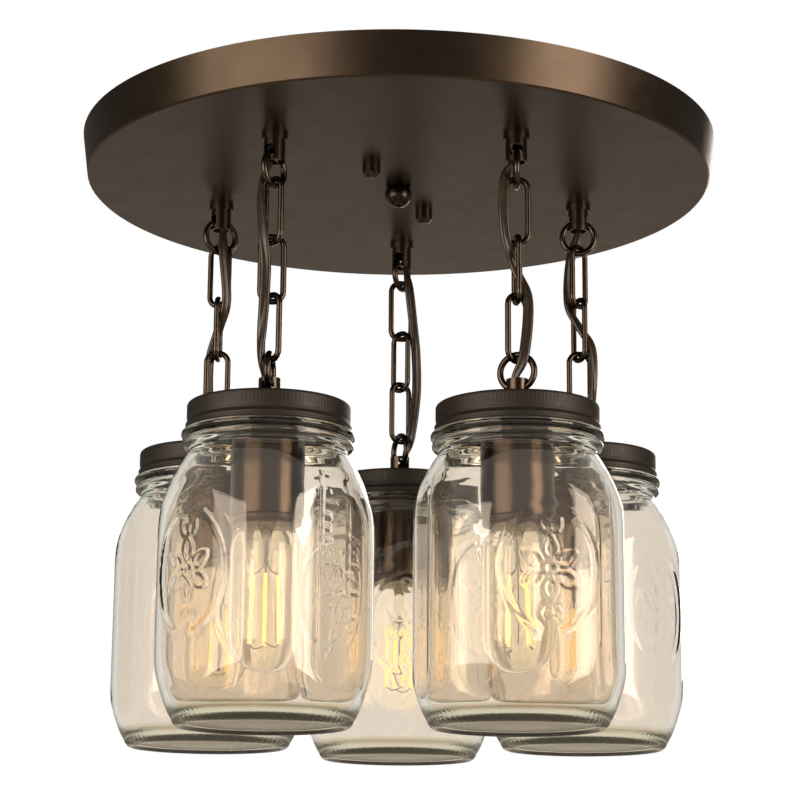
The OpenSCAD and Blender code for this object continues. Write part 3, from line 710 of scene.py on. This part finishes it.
def filament_sticks(centre, turn):
    """Four glowing sticks, and the wires that carry them and join their lower ends in pairs."""
    sticks, wires = [], []
    for k in range(4):
        a = turn + k * math.pi / 2
        head = polar(centre, FILAMENT_TOP_R, a, FILAMENT_TOP)
        foot = polar(centre, FILAMENT_LOW_R, a, FILAMENT_LOW)
        sticks.append(tube("stick", [head, foot], STICK_R, filament, 10))
        carrier = [polar(centre, 1.2, a, BULB_NECK_Z - 24.5), polar(centre, 2.6, a, FILAMENT_TOP + 2.6), head]
        wires.append(tube("wire", carrier, WIRE_R, wire_steel, 6))
        if k % 2 == 0:
            below = polar(centre, 7.2, turn + (k + 0.5) * math.pi / 2, FILAMENT_LOW - 2.2)
            next_foot = polar(centre, FILAMENT_LOW_R, a + math.pi / 2, FILAMENT_LOW)
            wires.append(tube("wire", [foot, below, next_foot], WIRE_R, wire_steel, 6))
    x, y = centre
    middle = [(x, y, BULB_NECK_Z - 25), (x + 0.3, y, -285.0), (x, y, FILAMENT_LOW + 1.0)]
    wires.append(tube("wire", middle, MIDDLE_WIRE_R, wire_steel, 6))
    return sticks, wires


glass_profile = bulb_shell(0.0) + bulb_shell(BULB_WALL)[::-1]
for i, s in enumerate(SUFFIXES):
    c = pendant_xy(s)
    shell = lathe("bulb_tube_" + s, glass_profile, 72, bulb_glass, closed=True, centre=c)
    base = lathe("bulb_base_" + s, bulb_base_profile(), 72, brass, centre=c)
    stem = lathe("bulb_stem_" + s, BULB_STEM, 32, stem_glass, centre=c)
    for ob in (shell, base, stem):
        fix_normals(ob)
    # Each bulb is screwed in to another turn
    sticks, wires = filament_sticks(c, math.radians(20 + 37 * i))
    sticks = join("bulb_filaments_" + s, sticks)
    wires = join("bulb_wires_" + s, wires)
    for ob in (shell, base, stem, sticks, wires):
        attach(ob, "bulb_" + s)
    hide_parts("bulb_" + s)


# ---------- cords ----------

# The way of each cord along its chain: x, y from the pendant's axis, height, turn of the flat side in degrees
CORD_RUNS = {
    "back": [(5, -3.8, -54, 20), (7.8, -2.6, -78, 10), (9.6, -1.2, -98, -10), (9.8, -1.6, -122, -10),
             (6.4, -2.8, -149, -10)],
    "left": [(2.4, -6, -54, -10), (5.1, -6.5, -84, -10), (0.3, 0, -100, 20), (-5, 4.5, -119, 40),
             (-4.6, 5, -149, 40)],
    "front_left": [(-7, -1.5, -54, 100), (-4.6, -6, -82, 160), (-3, -5, -100, 180), (-3.6, -4.6, -121, 180),
                   (-4.8, -4, -149, 110)],
    "front_right": [(-6.6, -4.6, -52, 10), (-6.4, -5, -80, 10), (-0.6, -0.6, -100, 30), (5.8, -2.4, -118, 10),
                    (3.6, -5.4, -148, 0)],
    "right": [(-4.6, 3.4, -56, 10), (-6.4, 1.2, -84, 40), (-0.2, 0, -98, 40), (7.2, -2.4, -114, 15),
              (6.4, -4, -148, 60)],
}
CORD_OFF = 3.15                     # from the loop's axis to the cord, beside the ring
FULL, SQUEEZED = 2.9, 2.2           # thickness of the cord, free and in a loop
# Pieces of a cord: name, and two heights meant for its going over from the body above to the next one;
# nothing here uses the heights
CORD_BENDS = (("upper", -36.5, -44.5), ("middle", -46.0, -60.0), ("lower", -150.0, -163.0))
CORD_CUTS = (-45.0, -100.0)         # heights between the pieces


def beside_ring(yaw, side):
    a = math.radians(yaw)
    return -side * CORD_OFF * math.sin(a), side * CORD_OFF * math.cos(a)


def cord_route(s):
    """Rows for sweep from the splice connector down to the lampholder, from the pendant's axis."""
    turn, y1, y2 = PENDANT_TURN[s], TOP_RING_YAW[s], LOW_RING_YAW[s]
    ca, sa = math.cos(math.radians(turn + 180)), math.sin(math.radians(turn + 180))
    # The flat side lies level in the pan; of its two equal turns, the one nearer to the ring's
    w = turn + 90 - 180 * math.floor((turn + 90 - y1) / 180 + 0.5)
    top_xy = beside_ring(y1, CORD_TOP_SIDE[s])
    low_xy = beside_ring(y2, CORD_LOW_SIDE[s])
    splice_z = PAN_Z + PAN_WALL + SPLICE_HEIGHT / 2
    return [
        (36 * ca, 36 * sa, splice_z, w, FULL),
        (15 * ca, 15 * sa, splice_z, w, FULL),
        (4 * ca, 4 * sa, PAN_Z + 15.5, w, SQUEEZED),
        (0, 0, PAN_Z + 11, w, SQUEEZED),
        (0, 0, PAN_Z + 1, y1, SQUEEZED),
        (*top_xy, TOP_HOLE_Z + 2.6, y1, SQUEEZED),
        (*top_xy, PAN_Z - LOOP_HEIGHT - 0.8, y1, SQUEEZED),
        *[(*row, FULL) for row in CORD_RUNS[s]],
        (*low_xy, DISC_Z + LOOP_HEIGHT + 0.8, y2, SQUEEZED),
        (*low_xy, LOW_HOLE_Z - 2.6, y2, SQUEEZED),
        (0, 0, DISC_Z - 1, y2, SQUEEZED),
        (0, 0, WIRE_FLOOR, y2, SQUEEZED),
    ]


def cord_section(thickness):
    """Two round cores side by side with a groove between them."""
    r = thickness / 2
    points = []
    for side, first_angle in ((1, -128), (-1, 52)):
        for k in range(9):
            a = math.radians(first_angle + 256 * k / 8)
            points.append((side * r + r * math.cos(a), r * math.sin(a)))
    return points


for s in SUFFIXES:
    cx, cy = pendant_xy(s)
    path = catmull(cord_route(s), 9)
    path[:, 0] += cx
    path[:, 1] += cy
    ends = [0] + [int(np.argmax(path[:, 2] < cut)) for cut in CORD_CUTS] + [len(path) - 1]
    for i, (name, z1, z2) in enumerate(CORD_BENDS):
        ob = sweep(f"cord_{name}_{s}", path[ends[i]:ends[i + 1] + 1], cord_section, cord_plastic)
        sharpen(ob, 60)
        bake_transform(ob)
        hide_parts("cord_" + s)


# ---------- camera, lights and surroundings ----------

CAMERA_PLACE = (0.0267, -1.293, -0.456)
CAMERA_LENS = 104.8
CAMERA_YAW, CAMERA_PITCH, CAMERA_ROLL = -1.10, 13.28, 0.45      # degrees
LAMP_COLOR = (1.0, 0.85, 0.70)


def set_camera():
    cam = bpy.data.cameras.new("camera")
    cam.sensor_width = 36.0
    cam.lens = CAMERA_LENS
    cam.clip_end = 50
    ob = bpy.data.objects.new("camera", cam)
    bpy.context.scene.collection.objects.link(ob)
    yaw, pitch, roll = (math.radians(a) for a in (CAMERA_YAW, CAMERA_PITCH, CAMERA_ROLL))
    f = Vector((math.sin(yaw) * math.cos(pitch), math.cos(yaw) * math.cos(pitch), math.sin(pitch)))
    level = f.cross(Vector((0, 0, 1))).normalized()
    r = (math.cos(roll) * level + math.sin(roll) * level.cross(f)).normalized()
    u = r.cross(f)
    px, py, pz = CAMERA_PLACE
    ob.matrix_world = Matrix(((r.x, u.x, -f.x, px), (r.y, u.y, -f.y, py), (r.z, u.z, -f.z, pz),
                              (0, 0, 0, 1)))
    bpy.context.scene.camera = ob


def area(name, place, target, size, size_y, power, color):
    light = bpy.data.lights.new(name, "AREA")
    light.shape = "RECTANGLE"
    light.size = size
    light.size_y = size_y
    light.energy = power
    light.color = color
    ob = bpy.data.objects.new(name, light)
    bpy.context.scene.collection.objects.link(ob)
    ob.location = place
    ob.rotation_euler = (Vector(target) - Vector(place)).to_track_quat("-Z", "Y").to_euler()
    return ob


def around(azimuth, distance, z):
    """Place round the light; azimuth 0 is in front."""
    a = math.radians(azimuth)
    return (distance * math.sin(a), -distance * math.cos(a), z)


def math_node(nt, operation, *values):
    """Output of a math node; each value is a number or another node's output."""
    node = nt.nodes.new("ShaderNodeMath")
    node.operation = operation
    for socket, value in zip(node.inputs, values):
        if isinstance(value, float):
            socket.default_value = value
        else:
            nt.links.new(value, socket)
    return node.outputs[0]


def mix_shaders(nt, fac, first, second, target):
    node = nt.nodes.new("ShaderNodeMixShader")
    nt.links.new(fac, node.inputs["Fac"])
    nt.links.new(first, node.inputs[1])
    nt.links.new(second, node.inputs[2])
    nt.links.new(node.outputs[0], target)


def ray_kinds(nt):
    """1 for what the camera sees, also through glass, and 1 for what is seen in a reflection."""
    ray = nt.nodes.new("ShaderNodeLightPath")
    seen = math_node(nt, "MAXIMUM", ray.outputs["Is Camera Ray"], ray.outputs["Is Transmission Ray"])
    return seen, ray.outputs["Is Glossy Ray"]


def set_world():
    """Warm room that is lighter below than above; the camera sees white in its place."""
    world = bpy.data.worlds.new("studio")
    bpy.context.scene.world = world
    world.use_nodes = True
    nt = world.node_tree
    nt.nodes.clear()
    out = nt.nodes.new("ShaderNodeOutputWorld")
    room = nt.nodes.new("ShaderNodeBackground")
    room.inputs["Color"].default_value = (1.0, 0.83, 0.66, 1)
    way = nt.nodes.new("ShaderNodeTexCoord")
    axes = nt.nodes.new("ShaderNodeSeparateXYZ")
    nt.links.new(way.outputs["Generated"], axes.inputs["Vector"])
    nt.links.new(map_range(nt, axes.outputs["Z"], 0.42, 0.08, -0.25, 0.2), room.inputs["Strength"])
    white = nt.nodes.new("ShaderNodeBackground")
    white.inputs["Color"].default_value = (1, 1, 1, 1)
    white.inputs["Strength"].default_value = 1.0
    seen, glossy = ray_kinds(nt)
    fac = math_node(nt, "MAXIMUM", seen, math_node(nt, "MULTIPLY", glossy, 0.04))
    mix_shaders(nt, fac, room.outputs[0], white.outputs[0], out.inputs["Surface"])


def floor_material():
    """Pale floor. The camera sees it nearly white, and quite white towards its edge."""
    mat, nt, b = new_material("floor")
    b.inputs["Roughness"].default_value = 0.9
    pale = ramp(nt, noise_node(nt, 3.0), (0.80, 0.72, 0.62), (0.84, 0.76, 0.66))
    nt.links.new(pale, b.inputs["Base Color"])
    white = nt.nodes.new("ShaderNodeEmission")
    white.inputs["Color"].default_value = (1, 1, 1, 1)
    white.inputs["Strength"].default_value = 1.0
    place = nt.nodes.new("ShaderNodeTexCoord")
    level = nt.nodes.new("ShaderNodeVectorMath")
    level.operation = "MULTIPLY"
    level.inputs[1].default_value = (1, 1, 0)
    nt.links.new(place.outputs["Object"], level.inputs[0])
    distance = nt.nodes.new("ShaderNodeVectorMath")
    distance.operation = "LENGTH"
    nt.links.new(level.outputs["Vector"], distance.inputs[0])
    seen, glossy = ray_kinds(nt)
    part = math_node(nt, "MULTIPLY_ADD", glossy, 0.05, seen)
    edge = map_range(nt, distance.outputs["Value"], 0.86, 1.0, 0.5, 2.2)
    mix_shaders(nt, math_node(nt, "MULTIPLY", part, edge), b.outputs[0], white.outputs[0],
                nt.nodes["Material Output"].inputs["Surface"])
    return mat


set_camera()
area("soft_left", around(-46, 2.1, -0.1), (0, 0, -0.12), 1.9, 1.3, 32, LAMP_COLOR)
area("soft_right", around(58, 2.1, -0.05), (0, 0, -0.12), 1.1, 1.3, 30, LAMP_COLOR)
back_lamp = area("soft_back", around(168, 1.9, 0.3), (0, 0, -0.2), 1.2, 0.8, 10, (1.0, 0.90, 0.80))
# Not seen straight through the glass
back_lamp.visible_transmission = False
set_world()
floor = lathe("floor", [(r, FLOOR_Z) for r in (0.0, 900.0, 2500.0)], 64, floor_material())

bpy.context.scene.view_settings.view_transform = "Standard"
